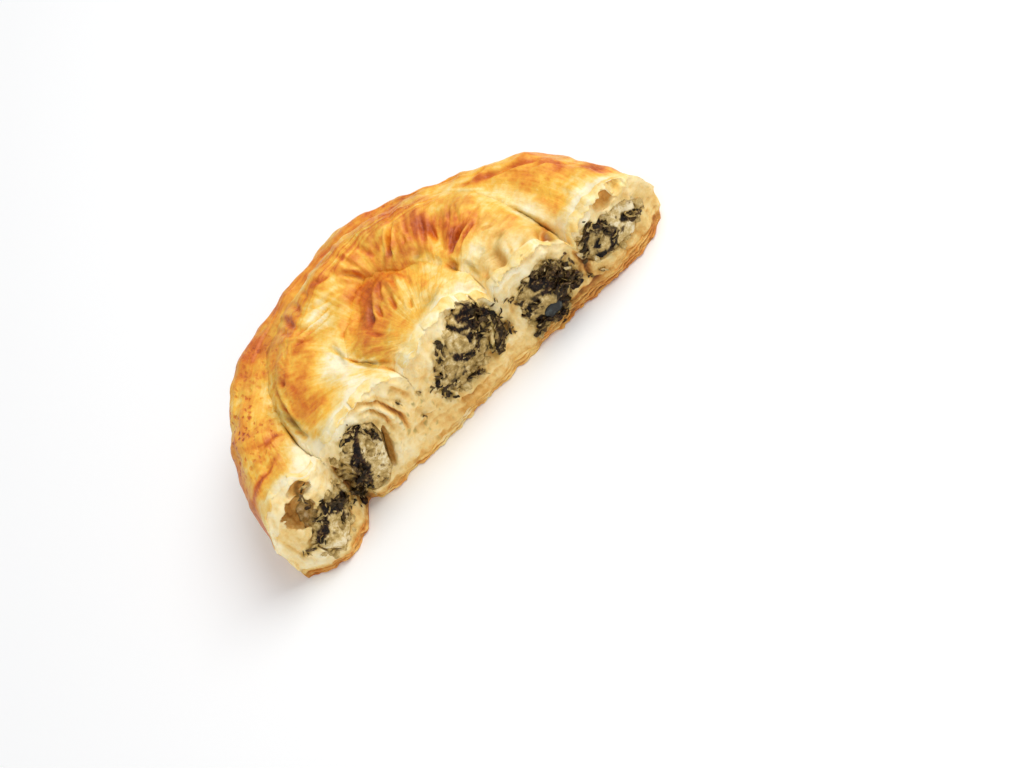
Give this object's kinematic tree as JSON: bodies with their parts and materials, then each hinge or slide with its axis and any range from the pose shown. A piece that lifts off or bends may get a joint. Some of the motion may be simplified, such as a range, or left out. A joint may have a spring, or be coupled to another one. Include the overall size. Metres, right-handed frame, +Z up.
{
  "type": "half of a coiled spinach and cheese filo pie",
  "caption": "Torn half of a baked coiled filo pie, with spinach and white cheese filling showing in the torn face; lies flat on its base.",
  "frame": {"origin": "middle of the footprint's bounding box, on the surface the pie rests on", "axes": "+Z up, +X along the torn face from its left end to its right end as seen from in front of the tear, -Y out of the torn face"},
  "size_m": [0.1498, 0.0836, 0.0355],
  "materials": {
    "filo_pastry": "baked golden filo with brown patches on the ridges and pale cream dough where it is torn",
    "spinach_filling": "moist dark green spinach leaves mixed with white cheese"
  },
  "bodies": {
    "root": {"pastry": "filo_pastry", "filling_outer": "spinach_filling", "filling_middle": "spinach_filling", "filling_core": "spinach_filling"}
  },
  "joints": []
}
